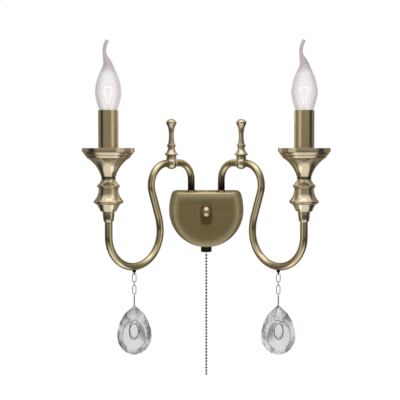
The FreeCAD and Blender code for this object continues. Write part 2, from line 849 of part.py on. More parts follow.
# The right arm stands over the terminal block; the left arm's lead crosses over to it in the pan.
lead_start = block_height / 2 + seat_gap
lead_level = lead_start + arm_lead_bend + seat_gap
lead_end = holder_floor - contact_tail - seat_gap
lead_entry = block_left + block_post_inset
pan_runs = {
    "left": rounded_path([place(lead_entry, root_depth, lead_start),
                          place(lead_entry, root_depth, lead_level),
                          place(root_x(-1), root_depth, lead_level),
                          place(root_x(-1), root_depth, root_bend_height)], arm_lead_bend),
    "right": [line(place(root_x(1), root_depth, lead_start),
                   place(root_x(1), root_depth, root_bend_height))]}
arm_leads = []
for name, side in sides:
    arm_run = arch_path(side, root_end, ball_reach)[1:] + scroll_path(side, ball_reach, lead_end)
    arm_leads.append(swept(pan_runs[name] + arm_run, arm_lead_radius, wire_side_count))
save(Part.makeCompound(arm_leads), "arm_leads")

switch_top = switch_body_bottom + switch_body_height
lead_top = -block_height / 2 - seat_gap
lead_low = switch_top + seat_gap
lead_drop = lead_top - lead_low
switch_bend = (switch_lead_side ** 2 + lead_drop ** 2) / (4 * switch_lead_side)
swing = math.asin(lead_drop / 2 / switch_bend)


def switch_lead_point(centre_x, centre_z, angle):
    return place(centre_x + switch_bend * math.cos(angle), root_depth,
                 centre_z + switch_bend * math.sin(angle))


lower_x = lead_entry - switch_lead_side
upper_bend = [switch_lead_point(lead_entry - switch_bend, lead_top, -swing * k / 2) for k in range(3)]
lower_bend = [switch_lead_point(lower_x + switch_bend, lead_low, math.pi + swing * k / 2)
              for k in (-2, -1, 0)]
save(swept([arc(*upper_bend), arc(*lower_bend)], switch_lead_radius, wire_side_count), "switch_lead")


# ---------------------------------------------------------------- pull switch

switch_axis = place(0, root_depth, 0)
chamber_floor = switch_body_bottom + switch_chamber_floor
switch_body = Part.makeBox(switch_width, switch_body_depth, switch_body_height,
                           place(-switch_width / 2, root_depth + switch_body_depth / 2, switch_body_bottom))
switch_body = switch_body.fuse(rod(switch_neck_radius, switch_axis + up * switch_neck_end,
                                   switch_axis + up * switch_body_bottom))
switch_body = switch_body.cut(rod(switch_chamber_radius, switch_axis + up * chamber_floor,
                                  switch_axis + up * (chamber_floor + switch_chamber_height)))
switch_body = switch_body.cut(rod(plunger_rod_radius + running_fit,
                                  switch_axis + up * (switch_neck_end - reach),
                                  switch_axis + up * chamber_floor))
save(switch_body.removeSplitter(), "switch_housing")

collar_top = -pan_bottom + reach
switch_collar = turned([(switch_throat_radius, switch_neck_end),
                        (switch_mouth_radius, switch_collar_bottom),
                        (switch_collar_radius, switch_collar_bottom),
                        (switch_collar_radius, collar_top),
                        (switch_neck_radius + running_fit, collar_top),
                        (switch_neck_radius + running_fit, switch_neck_end)])
save(moved(switch_collar, switch_axis).cut(pan_outside), "switch_collar")

plunger_head_bottom = chamber_floor + switch_chamber_height - seat_gap - plunger_head_height
plunger = turned_on_axis([(plunger_rod_radius, plunger_ball_height),
                          (plunger_rod_radius, plunger_head_bottom),
                          (plunger_head_radius, plunger_head_bottom),
                          (plunger_head_radius, plunger_head_bottom + plunger_head_height)])
plunger = plunger.fuse(Part.makeSphere(bead_radius, FreeCAD.Vector(0, 0, plunger_ball_height)))
save(moved(plunger.removeSplitter(), switch_axis), "switch_plunger")


def arc_from(start, elbow, end):
    # The arc that leaves start and reaches end with both tangents through elbow.
    middle = (start + end) / 2
    half_chord = (end - start).Length / 2
    tangent = (elbow - start).Length
    height = (elbow - middle).Length
    sagitta = half_chord * (tangent - half_chord) / height
    return arc(start, middle + (elbow - middle) * (sagitta / height), end)


def helix_path(radius, bottom, top, turns):
    # Two tangent arcs for each quarter turn, with the true helix at every quarter.
    climb = (top - bottom) / (2 * math.pi * turns)

    def at(angle):
        return FreeCAD.Vector(radius * math.cos(angle), radius * math.sin(angle), bottom + climb * angle)

    def heading(angle):
        return FreeCAD.Vector(-radius * math.sin(angle), radius * math.cos(angle), climb).normalize()

    edges = []
    quarters = 4 * turns
    for k in range(quarters):
        first = k * math.pi / 2
        last = first + math.pi / 2
        chord = at(last) - at(first)
        both = heading(first) + heading(last)
        spread = 2 * (1 - heading(first).dot(heading(last)))
        tangent = (math.sqrt(chord.dot(both) ** 2 + spread * chord.dot(chord)) - chord.dot(both)) / spread
        elbow_in = at(first) + heading(first) * tangent
        elbow_out = at(last) - heading(last) * tangent
        joint = (elbow_in + elbow_out) / 2
        edges.append(arc_from(at(first), elbow_in, joint))
        edges.append(arc_from(joint, elbow_out, at(last)))
    return edges


spring = swept(helix_path(spring_radius, chamber_floor + spring_wire_radius + seat_gap,
                          plunger_head_bottom - spring_wire_radius - seat_gap, spring_turns),
               spring_wire_radius, spring_side_count)
save(moved(spring, switch_axis), "switch_spring")


# ---------------------------------------------------------------- bead chain

def chain_ring(radius, height):
    circle = Part.Circle(FreeCAD.Vector(0, 0, height), up, radius)
    return Part.makePolygon([circle.value(2 * math.pi * k / bead_side_count) for k in range(bead_side_count + 1)])


def chain_length(pivot, first_bead):
    # Ball beads on one wire, which starts just under the ball that the length hangs from.
    neck = math.acos(bead_link_radius / bead_radius)
    rings = [chain_ring(bead_link_radius, pivot - bead_radius - bead_gap)]
    for k in range(beads_per_length):
        middle = first_bead - k * bead_pitch
        for latitude in (neck, math.radians(bead_latitude), -math.radians(bead_latitude), -neck):
            rings.append(chain_ring(bead_radius * math.cos(latitude),
                                    middle + bead_radius * math.sin(latitude)))
    return Part.makeLoft(rings, True, True)


chain_pivot = plunger_ball_height
chain_first = first_bead_height
for node in ("chain_upper", "chain_middle", "chain_lower"):
    save(moved(chain_length(chain_pivot, chain_first), switch_axis), node)
    chain_pivot = chain_first - (beads_per_length - 1) * bead_pitch
    chain_first = chain_pivot - bead_pitch


# ---------------------------------------------------------------- glass drops

def oval_link(half_width, height, wire_radius, wide):
    # A closed oval of wire that hangs down from the origin; wide is its broad direction.
    bend = half_width - wire_radius
    top = -half_width
    low = -height + half_width

    def at(x, z):
        return wide * x + up * z

    upper = arc(at(-bend, top), at(0, top + bend), at(bend, top))
    lower = arc(at(bend, low), at(0, low - bend), at(-bend, low))
    if top - low < wire_radius:
        return swept([upper, lower], wire_radius, wire_side_count)
    legs = [line(at(bend, top), at(bend, low)), line(at(-bend, low), at(-bend, top))]
    return swept([upper, legs[0], lower, legs[1]], wire_radius, wire_side_count)


def square_foot_link(half_width, height, wire_radius, foot_bend, wide):
    # As the oval link, with a straight bar at its foot that lies in the hole of the glass.
    bend = half_width - wire_radius
    top = -half_width
    foot = -height + wire_radius

    def at(x, z):
        return wide * x + up * z

    legs = rounded_path([at(bend, top), at(bend, foot), at(-bend, foot), at(-bend, top)], foot_bend)
    return swept([arc(at(-bend, top), at(0, top + bend), at(bend, top))] + legs, wire_radius, wire_side_count)


def hung_under(bottom, upper_wire, own_wire):
    # Top of a link whose end bar rests on the bottom bar of the link above.
    return bottom + 2 * (upper_wire + own_wire) + hanging_gap


hook_top = bowl_height - bowl_radius - tube_radius
hook_middle = hook_top - hook_drop - hook_radius
hook_bottom = hook_middle - hook_radius
upper_top = hung_under(hook_bottom, hook_wire_radius, link_wire_radius)
ring_top = hung_under(upper_top - upper_link_height, link_wire_radius, link_wire_radius)
lower_top = hung_under(ring_top - 2 * link_ring_radius, link_wire_radius, link_wire_radius)
pin_top = hung_under(lower_top - lower_link_height, link_wire_radius, pin_wire_radius)
pin_bottom = pin_top - pin_height

hook = moved(oval_link(hook_radius, 2 * hook_radius, hook_wire_radius, out),
             up * (hook_middle + hook_radius))
hook = hook.fuse(rod(hook_stem_radius, FreeCAD.Vector(0, 0, hook_middle + hook_radius - hook_wire_radius),
                     FreeCAD.Vector(0, 0, hook_top + hook_stem_sink)))
hook = hook.fuse(upright(hook_collar_radius, hook_top - seat_gap - hook_collar_height, hook_top - seat_gap))
hook = hook.removeSplitter()
upper_link = moved(oval_link(upper_link_half_width, upper_link_height, link_wire_radius, across),
                   up * upper_top)
link_ring = moved(oval_link(link_ring_radius, 2 * link_ring_radius, link_wire_radius, out),
                  up * ring_top)
lower_link = moved(oval_link(lower_link_half_width, lower_link_height, link_wire_radius, across),
                   up * lower_top)
drop_pin = moved(square_foot_link(pin_half_width, pin_height, pin_wire_radius, pin_foot_bend, out),
                 up * pin_top)


def crystal_radius(angle):
    # Outline of the glass from the front: a half ellipse below, and two longer arcs that meet above.
    if math.sin(angle) <= 0:
        return (crystal_belly_radius * crystal_foot_depth
                / math.hypot(crystal_foot_depth * math.cos(angle), crystal_belly_radius * math.sin(angle)))
    shift = crystal_side_radius - crystal_belly_radius
    return (math.sqrt(crystal_side_radius ** 2 - (shift * math.sin(angle)) ** 2)
            - shift * abs(math.cos(angle)))


def crystal_ring(share, depth, half_step):
    step = 2 * math.pi / crystal_sides
    angles = [math.pi / 2 + (k + half_step) * step for k in range(crystal_sides)]
    return [place(share * crystal_radius(angle) * math.cos(angle), depth,
                  share * crystal_radius(angle) * math.sin(angle)) for angle in angles]


def crystal_table(depth):
    step = 2 * math.pi / crystal_sides
    angles = [math.pi / 2 + k * step for k in range(crystal_sides)]
    return [place(crystal_table_half_width * math.cos(angle), depth,
                  crystal_table_rise + crystal_table_half_height * math.sin(angle)) for angle in angles]


def facet(*corners):
    return Part.Face(Part.makePolygon(list(corners) + [corners[0]]))


def belt(lower, upper, shifted):
    # Triangles between two rings; shifted is 1 where the upper ring is half a step ahead.
    faces = []
    count = len(lower)
    for k in range(count):
        following = (k + 1) % count
        if shifted:
            faces.append(facet(lower[k], lower[following], upper[k]))
            faces.append(facet(upper[k], lower[following], upper[following]))
        else:
            faces.append(facet(lower[k], upper[following], upper[k]))
            faces.append(facet(lower[k], lower[following], upper[following]))
    return faces


def crystal():
    front_girdle = crystal_ring(1.0, crystal_girdle, 0)
    back_girdle = crystal_ring(1.0, -crystal_girdle, 0)
    faces = belt(front_girdle, back_girdle, False)
    for face_side, girdle in ((1, front_girdle), (-1, back_girdle)):
        crown = crystal_ring(crystal_crown_share, face_side * crystal_crown_depth, 0.5)
        table = crystal_table(face_side * crystal_table_depth)
        faces = faces + belt(girdle, crown, True)
        turned_table = table[1:] + table[:1]
        faces = faces + belt(crown, turned_table, True)
        faces.append(facet(*table))
    body = Part.Solid(Part.Shell(faces))
    if body.Volume < 0:
        body.reverse()
    return body


crystal_top_radius = crystal_radius(math.pi / 2)
hole_height = crystal_top_radius - crystal_hole_from_top
glass_drop = crystal().cut(rod(crystal_hole_radius, place(0, -crystal_table_depth, hole_height),
                               place(0, crystal_table_depth, hole_height)))
hole_at_rest = pin_bottom + 2 * pin_wire_radius + hanging_gap - crystal_hole_radius
hooks = []
for name, side in sides:
    hang = arm_point(side, hang_reach, 0)
    hooks.append(moved(hook, hang))
    save(moved(upper_link, hang), name + "_upper_link")
    save(moved(link_ring, hang), name + "_link_ring")
    save(moved(lower_link, hang), name + "_lower_link")
    save(moved(drop_pin, hang), name + "_drop_pin")
    save(moved(glass_drop, hang + up * (hole_at_rest - hole_height)), name + "_crystal_drop")
save(Part.makeCompound(hooks), "pendant_eyelets")
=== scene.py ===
import json
import math

import bmesh
import bpy
from mathutils import Matrix, Vector


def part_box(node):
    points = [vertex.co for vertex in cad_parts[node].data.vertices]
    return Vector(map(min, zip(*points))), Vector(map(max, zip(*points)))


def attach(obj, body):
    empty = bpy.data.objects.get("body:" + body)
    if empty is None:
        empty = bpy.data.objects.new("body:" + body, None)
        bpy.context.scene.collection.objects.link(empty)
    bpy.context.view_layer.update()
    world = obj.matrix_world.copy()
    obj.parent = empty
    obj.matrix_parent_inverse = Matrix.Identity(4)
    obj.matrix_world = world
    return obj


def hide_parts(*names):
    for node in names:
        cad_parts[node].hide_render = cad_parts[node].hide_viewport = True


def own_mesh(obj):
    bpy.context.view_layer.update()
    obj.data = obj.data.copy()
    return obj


print("loading the packed wall light")
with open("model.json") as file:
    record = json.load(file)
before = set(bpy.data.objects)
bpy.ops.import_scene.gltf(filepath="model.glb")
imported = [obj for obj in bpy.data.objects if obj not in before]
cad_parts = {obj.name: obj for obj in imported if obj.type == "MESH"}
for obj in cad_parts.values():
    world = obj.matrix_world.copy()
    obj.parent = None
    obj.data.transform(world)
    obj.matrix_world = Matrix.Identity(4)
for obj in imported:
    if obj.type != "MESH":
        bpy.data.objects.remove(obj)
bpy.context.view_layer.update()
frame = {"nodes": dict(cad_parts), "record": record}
mm = 0.001
tiny = 1e-6
seamGap = 2e-5  # ends of a closed wire loop that lie nearer than this are joined

# reaches run out along the arm from the axis of its root tube, in millimetres
arms = {"rootX": 21.75, "rootDepth": 14.5, "turn": 45.0, "archHeight": 69.5,
        "ballReach": 38.7, "candleReach": 149.2}
sides = (("left", -1), ("right", 1))


def armPoint(side, reach, height):
    out = reach * math.cos(math.radians(arms["turn"]))
    return Vector((side * (arms["rootX"] + out), -(arms["rootDepth"] + out), height)) * mm


def armPlane(side):
    # local X runs out along the arm, local Z is up
    heading = -arms["turn"] if side > 0 else arms["turn"] - 180.0
    return Matrix.Translation(armPoint(side, 0.0, 0.0)) @ Matrix.Rotation(math.radians(heading), 4, "Z")


# a wire holds one socket, a paint holds one node tree
class Wire:
    def __init__(self, paint, out):
        self.paint = paint
        self.out = out

    def calc(self, operation, *others):
        values = {k + 1: other for k, other in enumerate(others)}
        return self.paint.node("ShaderNodeMath", {"operation": operation}, {0: self, **values})

    def __add__(self, other):
        return self.calc("ADD", other)

    def __radd__(self, other):
        return self.calc("ADD", other)

    def __sub__(self, other):
        return self.calc("SUBTRACT", other)

    def __rsub__(self, other):
        return self.paint.node("ShaderNodeMath", {"operation": "SUBTRACT"}, {0: other, 1: self})

    def __mul__(self, other):
        return self.calc("MULTIPLY", other)

    def __rmul__(self, other):
        return self.calc("MULTIPLY", other)

    def __truediv__(self, other):
        return self.calc("DIVIDE", other)

    def get(self, name):
        return Wire(self.paint, self.out.node.outputs[name])


class Paint:
    def __init__(self, tree):
        self.tree = tree

    def node(self, kind, settings=None, sockets=None):
        made = self.tree.nodes.new(kind)
        for name, value in (settings or {}).items():
            if name == "stops":
                ramp = made.color_ramp
                while len(ramp.elements) < len(value):
                    ramp.elements.new(0.5)
                for element, (position, colour) in zip(ramp.elements, value):
                    element.position = position
                    element.color = (*colour, 1.0)
            else:
                setattr(made, name, value)
        for name, value in (sockets or {}).items():
            if isinstance(value, Wire):
                self.tree.links.new(value.out, made.inputs[name])
            elif value is not None:
                made.inputs[name].default_value = value
        shown = [out for out in made.outputs if out.enabled]
        return Wire(self, shown[0]) if shown else made

    def mixColour(self, amount, first, second, blend="MIX"):
        made = self.tree.nodes.new("ShaderNodeMix")
        made.data_type = "RGBA"
        made.blend_type = blend
        for socket, value in ((made.inputs[0], amount), (made.inputs[6], first), (made.inputs[7], second)):
            if isinstance(value, Wire):
                self.tree.links.new(value.out, socket)
            elif isinstance(value, (int, float)):
                socket.default_value = value
            else:
                socket.default_value = (*value, 1.0)
        return Wire(self, made.outputs[2])

    def ease(self, value, low, high, first=0.0, last=1.0):
        return self.node("ShaderNodeMapRange", {"interpolation_type": "SMOOTHSTEP"},
                         {0: value, 1: low, 2: high, 3: first, 4: last})


def newFinish(name):
    made = bpy.data.materials.new(name)
    made.use_nodes = True
    made.node_tree.nodes.clear()
    return made, Paint(made.node_tree)


def seal(paint, shader):
    paint.node("ShaderNodeOutputMaterial", None, {"Surface": shader})


def place(paint, scale=(1.0, 1.0, 1.0)):
    spot = paint.node("ShaderNodeTexCoord").get("Object")
    return paint.node("ShaderNodeMapping", None, {"Vector": spot, "Scale": scale})


def noise(paint, vector, scale, detail=3.0, roughness=0.5):
    return paint.node("ShaderNodeTexNoise", None,
                      {"Vector": vector, "Scale": scale, "Detail": detail, "Roughness": roughness})


def spotOf(paint):
    spot = paint.node("ShaderNodeTexCoord").get("Object")
    return paint.node("ShaderNodeSeparateXYZ", None, {"Vector": spot})


def markOf(paint, name):
    return paint.node("ShaderNodeAttribute", {"attribute_name": name}).get("Fac")


def bumpOf(paint, strength, height):
    return paint.node("ShaderNodeBump", None,
                      {"Strength": strength, "Distance": bumpDistance, "Height": height})


bumpDistance = 0.0002

print("camera")
camera = {"x": 0.0, "y": -1.065, "z": 0.090, "lens": 65.43, "sensor": 36.0,
          "axisColumn": 206.3, "horizonRow": 148.5, "shiftY": -0.08, "imageSize": 400}
cam = bpy.data.cameras.new("camera")
cam.lens = camera["lens"]
cam.sensor_width = camera["sensor"]
cam.shift_x = (camera["imageSize"] / 2 - camera["axisColumn"]) / camera["imageSize"]
cam.shift_y = camera["shiftY"]
axisRow = camera["imageSize"] * (0.5 + camera["shiftY"])
focal = camera["lens"] / camera["sensor"] * camera["imageSize"]
tiltDown = math.atan((axisRow - camera["horizonRow"]) / focal)
camObject = bpy.data.objects.new("camera", cam)
camObject.location = (camera["x"], camera["y"], camera["z"])
camObject.rotation_euler = (math.pi / 2 - tiltDown, 0, 0)
bpy.context.scene.collection.objects.link(camObject)
bpy.context.scene.camera = camObject
bpy.context.scene.view_settings.view_transform = "Standard"

print("studio")
studio = {
    "floorHeight": -0.52, "floorRadius": 0.62, "floorMiddle": -0.15, "floorSides": 96,
    "floorColour": (0.93, 0.93, 0.92), "floorShade": (0.88, 0.88, 0.87), "floorGrain": 60.0,
    "floorRoughness": 0.8,
    # what shiny pieces see, by degrees of azimuth away from the camera, the same on both sides
    "bands": ((0.0, 0.38), (14.0, 0.37), (50.0, 0.36), (60.0, 0.04), (84.0, 0.04), (92.0, 0.34),
              (114.0, 0.34), (124.0, 0.42), (180.0, 0.40)),
    "warmth": (1.0, 0.94, 0.85),
    "lineFrom": -0.32, "lineTo": -0.16, "lineEdge": 0.04, "lineReach": 104.0, "lineFade": 12.0,
    "lineLevel": 0.05, "backFrom": 60.0, "backTo": 84.0, "backDark": 0.06, "darkFrom": 0.24, "darkTo": 0.38,
    "farFrom": 118.0, "farTo": 134.0, "farLevel": 0.30,
    "overhead": 1.15, "overheadFrom": 0.42, "overheadTo": 0.70, "overheadBack": 0.24,
    "under": 1.10, "underFrom": 0.38, "underTo": 0.72, "underBack": 0.40,
    "ambient": 0.75, "behind": 0.88, "aside": 0.36, "lobes": 8.0, "lobeFrom": -0.9, "lobeTo": -0.1}
world = bpy.data.worlds.new("studio")
bpy.context.scene.world = world
world.use_nodes = True
world.node_tree.nodes.clear()
sky = Paint(world.node_tree)
ray = sky.node("ShaderNodeLightPath")
way = sky.node("ShaderNodeSeparateXYZ", None, {"Vector": sky.node("ShaderNodeTexCoord").get("Generated")})
turn = sky.node("ShaderNodeMath", {"operation": "ARCTAN2"}, {0: way.get("X"), 1: way.get("Y") * -1.0})
turn = turn.calc("ABSOLUTE")
stops = [(azimuth / 180.0, (level, level, level)) for azimuth, level in studio["bands"]]
ring = sky.node("ShaderNodeValToRGB", {"stops": stops}, {"Fac": turn / math.pi})
line = sky.ease(way.get("Z"), studio["lineFrom"] - studio["lineEdge"], studio["lineFrom"])
line = line * sky.ease(way.get("Z"), studio["lineTo"] + studio["lineEdge"], studio["lineTo"])
lineEnd = math.radians(studio["lineReach"])
line = line * sky.ease(turn, lineEnd + math.radians(studio["lineFade"]), lineEnd)
back = sky.ease(turn, math.radians(studio["backFrom"]), math.radians(studio["backTo"]))
gloss = sky.mixColour(line, ring, (studio["lineLevel"],) * 3)
far = sky.ease(turn, math.radians(studio["farFrom"]), math.radians(studio["farTo"]))
shade = sky.mixColour(far, (studio["backDark"],) * 3, (studio["farLevel"],) * 3)
dim = back * sky.ease(way.get("Z") * -1.0, studio["darkFrom"], studio["darkTo"])
gloss = sky.mixColour(dim, gloss, shade)
gloss = sky.mixColour(1.0, gloss, studio["warmth"], "MULTIPLY")
above = sky.ease(way.get("Z") - back * studio["overheadBack"], studio["overheadFrom"], studio["overheadTo"])
gloss = sky.mixColour(above, gloss, (studio["overhead"],) * 3)
below = sky.ease(way.get("Z") * -1.0 - back * studio["underBack"], studio["underFrom"], studio["underTo"])
gloss = sky.mixColour(below, gloss, (studio["under"],) * 3)
plain = sky.mixColour(ray.get("Is Glossy Ray"), (studio["ambient"],) * 3, gloss)
lobes = (turn * studio["lobes"]).calc("COSINE")  # bright screens and dark gaps by turns, all the way round
through = sky.mixColour(sky.ease(lobes, studio["lobeFrom"], studio["lobeTo"]), (studio["aside"],) * 3,
                        (studio["behind"],) * 3)
through = sky.mixColour(ray.get("Is Transmission Ray"), plain, through)
seen = sky.mixColour(ray.get("Is Camera Ray"), through, (1.0, 1.0, 1.0))
sky.node("ShaderNodeOutputWorld", None, {"Surface": sky.node("ShaderNodeBackground", None, {"Color": seen})})

floorBm = bmesh.new()
bmesh.ops.create_circle(floorBm, cap_ends=True, radius=studio["floorRadius"],
                         segments=studio["floorSides"])
floorMesh = bpy.data.meshes.new("floor")
floorBm.to_mesh(floorMesh)
floorBm.free()
floorMesh.transform(Matrix.Translation((0, studio["floorMiddle"], studio["floorHeight"])))
floorFinish, floorPaint = newFinish("floorPaper")
grainy = noise(floorPaint, place(floorPaint), studio["floorGrain"])
floorTone = floorPaint.mixColour(grainy * 0.06, studio["floorColour"], studio["floorShade"])
seal(floorPaint, floorPaint.node("ShaderNodeBsdfPrincipled", None,
                                 {"Base Color": floorTone, "Roughness": studio["floorRoughness"]}))
floorMesh.materials.append(floorFinish)
floor = bpy.data.objects.new("floor", floorMesh)
bpy.context.scene.collection.objects.link(floor)
floor.visible_glossy = False  # shiny pieces see the studio below instead
floor.visible_shadow = False  # it catches shadows, but doesn't block the light from below

# each half has its own tall soft boxes, one mirroring the other
halves = {}
for halfName in ("left", "right", "back"):
    halves[halfName] = bpy.data.collections.new(halfName + "Half")
    bpy.context.scene.collection.children.link(halves[halfName])
boxes = {"wide": {"azimuth": 62.0, "elevation": 12.0, "span": 38.0, "tall": 2.4, "level": 0.72,
                  "tint": (1.0, 0.96, 0.88)},
         "strip": {"azimuth": 140.0, "elevation": 12.0, "span": 28.0, "tall": 2.4, "level": 0.70,
                   "tint": (1.0, 0.93, 0.86)},
         "low": {"azimuth": 72.0, "elevation": -56.0, "span": 26.0, "tall": 0.7, "level": 0.95,
                 "tint": (1.0, 0.96, 0.90)},
         "lowBack": {"azimuth": 116.0, "elevation": -40.0, "span": 20.0, "tall": 0.7, "level": 0.42,
                     "tint": (1.0, 0.94, 0.88)}}
boxAim = {"distance": 1.6, "reach": 110.0, "height": 60.0}
panBox = {"aim": (0, -0.02, 0), "x": 1.45, "y": -0.66, "z": 0.1, "wide": 0.7, "tall": 1.6, "level": 0.9,
          "tint": (1.0, 0.96, 0.88)}
topBox = {"aim": (0, -0.08, 0.06), "x": 0.0, "y": -0.45, "z": 1.25, "wide": 0.8, "tall": 0.8, "level": 0.9,
          "tint": (1.0, 1.0, 1.0)}


def softBox(name, aim, spot, wide, spec, receivers=None):
    light = bpy.data.lights.new(name, "AREA")
    light.shape = "RECTANGLE"
    light.size, light.size_y = wide, spec["tall"]
    light.energy = spec["level"] * math.pi * wide * spec["tall"]
    light.color = spec["tint"]
    box = bpy.data.objects.new(name, light)
    back = (spot - aim).normalized()
    across = Vector((0, 0, 1)).cross(back).normalized()
    turned = Matrix((across, back.cross(across), back)).transposed().to_4x4()
    box.matrix_world = Matrix.Translation(spot) @ turned
    box.visible_camera = False
    box.visible_transmission = False
    bpy.context.scene.collection.objects.link(box)
    if receivers:
        box.light_linking.receiver_collection = receivers


for name, side in sides:
    aim = armPoint(side, boxAim["reach"], boxAim["height"])
    for boxName, spec in boxes.items():
        angle, rise = math.radians(spec["azimuth"]), math.radians(spec["elevation"])
        toBox = Vector((-side * math.sin(angle) * math.cos(rise), -math.cos(angle) * math.cos(rise),
                        math.sin(rise)))
        wide = 2 * boxAim["distance"] * math.tan(math.radians(spec["span"] / 2))
        softBox(name + "_" + boxName, aim, aim + toBox * boxAim["distance"], wide, spec, halves[name])
for name, side in sides:
    softBox(name + "_pan_side", Vector(panBox["aim"]), Vector((side * panBox["x"], panBox["y"], panBox["z"])),
            panBox["wide"], panBox, halves["back"])
softBox("overhead", Vector(topBox["aim"]), Vector((topBox["x"], topBox["y"], topBox["z"])),
        topBox["wide"], topBox)

print("finishes")
# the near-black turned colour is painted shade, for the grooves and the bell's neck
brass = {"colour": (0.60, 0.51, 0.325), "dark": (0.33, 0.25, 0.115), "edge": (0.62, 0.57, 0.50),
         "turned": (0.62, 0.535, 0.38), "recessShade": (0.045, 0.028, 0.012), "tubeEdge": (0.03, 0.02, 0.01),
         "stainScale": 38.0, "scratchScale": 900.0}


def metalShader(paint, colour, roughness, bump=None, edge=brass["edge"], constants=None):
    sockets = {"Base Color": colour, "Metallic": 1.0, "Roughness": roughness,
               "Specular Tint": (*edge, 1.0)}
    if bump is not None:
        sockets["Normal"] = bump
    sockets.update(constants or {})
    return paint.node("ShaderNodeBsdfPrincipled", None, sockets)


def tubeBrass(name, edge):
    # drawn tube: long soft stains and fine scratches
    look = {"roughness": 0.14, "stain": 0.22}
    made, paint = newFinish(name)
    stain = noise(paint, place(paint, (1.0, 1.0, 0.35)), brass["stainScale"], 4.0)
    fine = noise(paint, place(paint), brass["scratchScale"], 2.0)
    tone = paint.mixColour(paint.ease(stain, 0.35, 0.75) * look["stain"], brass["colour"], brass["dark"])
    rough = look["roughness"] + fine * 0.05 + stain * 0.05
    seal(paint, metalShader(paint, tone, rough, bumpOf(paint, 0.02, fine), edge))
    return made


def rootBrass():
    # painted shade: almost black where the tube leaves the pan, thinning out up to the bend
    look = {"roughness": 0.19, "darkBelow": 0.034, "clearAbove": 0.066, "dark": (0.028, 0.018, 0.006)}
    made, paint = newFinish("antiqueRootBrass")
    stain = noise(paint, place(paint), brass["stainScale"], 4.0)
    fine = noise(paint, place(paint), brass["scratchScale"], 2.0)
    rise = paint.ease(spotOf(paint).get("Z"), look["darkBelow"], look["clearAbove"])
    tone = paint.mixColour(paint.ease(stain, 0.35, 0.75) * 0.35, brass["colour"], brass["dark"])
    # painted shade near the pan
    tone = paint.mixColour(rise, look["dark"], tone)
    seal(paint, metalShader(paint, tone, look["roughness"] + fine * 0.05, bumpOf(paint, 0.05, fine)))
    return made


def turnedBrass():
    # lathe rings run round the upright axis, and painted shade darkens the grooves and the bell's neck under
    # the drip pan
    look = {"roughness": 0.15, "ringScale": 2600.0, "neckFrom": 0.0500, "neckTo": 0.0536, "neckEdge": 0.0006}
    made, paint = newFinish("antiqueTurnedBrass")
    stain = noise(paint, place(paint), 55.0, 4.0)
    ringHeight = noise(paint, place(paint, (0.02, 0.02, 1.0)), look["ringScale"], 2.0)
    groove = markOf(paint, "groove")
    tone = paint.mixColour(paint.ease(stain, 0.4, 0.8) * 0.35, brass["turned"], brass["dark"])
    # painted shade in the grooves
    tone = paint.mixColour(groove, tone, brass["recessShade"])
    height = spotOf(paint).get("Z")
    # painted shade in the bell's neck, under the drip pan
    neck = paint.ease(height, look["neckFrom"], look["neckFrom"] + look["neckEdge"])
    neck = neck * paint.ease(height, look["neckTo"] + look["neckEdge"], look["neckTo"])
    tone = paint.mixColour(neck * 0.75, tone, brass["recessShade"])
    rough = look["roughness"] + ringHeight * 0.08 + groove * 0.2
    seal(paint, metalShader(paint, tone, rough, bumpOf(paint, 0.08, ringHeight)))
    return made


def panBrass():
    # face brushed from side to side; a painted highlight lights up the rim and a painted dark reflection of
    # the knob shades the face round and below it
    look = {"roughness": 0.30, "streakScale": 1500.0, "knobWide": 0.0085, "knobHigh": 0.0137,
            "knobDrop": 0.006, "colour": (0.36, 0.29, 0.14), "streak": (0.27, 0.214, 0.096),
            "cloud": (0.17, 0.13, 0.055), "knobReflection": (0.075, 0.055, 0.018), "rimHighlight": (0.70, 0.61, 0.38)}
    made, paint = newFinish("brushedPanBrass")
    streak = noise(paint, place(paint, (0.012, 0.2, 1.0)), look["streakScale"], 3.0, 0.6)
    broad = noise(paint, place(paint, (0.05, 0.2, 1.0)), 190.0, 3.0)
    spot = spotOf(paint)
    # painted dark reflection of the knob in the brushed face, round and below it
    across = (spot.get("X") / look["knobWide"]).calc("POWER", 4.0)
    upward = ((spot.get("Z") + look["knobDrop"]) / look["knobHigh"]).calc("POWER", 4.0)
    knobReflection = paint.ease(across + upward, 1.6, 0.5)
    tone = paint.mixColour(paint.ease(streak, 0.3, 0.75) * 0.5, look["colour"], look["streak"])
    tone = paint.mixColour(paint.ease(broad, 0.35, 0.8) * 0.25, tone, look["cloud"])
    tone = paint.mixColour(knobReflection * 0.62, tone, look["knobReflection"])
    # painted highlight along the rim
    tone = paint.mixColour(markOf(paint, "rim").calc("POWER", 1.6), tone, look["rimHighlight"])
    seal(paint, metalShader(paint, tone, look["roughness"] + streak * 0.10, bumpOf(paint, 0.10, streak),
                            constants={"Anisotropic": 0.75, "Anisotropic Rotation": 0.25}))
    return made


def chainBrass():
    made, paint = newFinish("beadBrass")
    stain = noise(paint, place(paint), 160.0, 3.0)
    tone = paint.mixColour(paint.ease(stain, 0.35, 0.7), (0.30, 0.235, 0.125), (0.13, 0.095, 0.045))
    seal(paint, metalShader(paint, tone, 0.20 + stain * 0.1))
    return made


def darkMetal():
    made, paint = newFinish("blackBrownMetal")
    stain = noise(paint, place(paint), 300.0, 4.0)
    tone = paint.mixColour(paint.ease(stain, 0.45, 0.7), (0.014, 0.009, 0.005), (0.05, 0.035, 0.02))
    seal(paint, paint.node("ShaderNodeBsdfPrincipled", None,
                           {"Base Color": tone, "Metallic": 0.6, "Roughness": 0.34 + stain * 0.15}))
    return made


def zincSteel():
    made, paint = newFinish("zincSteel")
    stain = noise(paint, place(paint), 120.0, 4.0)
    flakes = paint.node("ShaderNodeTexVoronoi", None, {"Vector": place(paint), "Scale": 420.0}).get("Color")
    tone = paint.mixColour(stain * 0.6, (0.62, 0.62, 0.60), (0.45, 0.45, 0.44))
    tone = paint.mixColour(0.08, tone, flakes, "OVERLAY")
    seal(paint, metalShader(paint, tone, 0.30 + stain * 0.2, None, (0.8, 0.8, 0.8)))
    return made


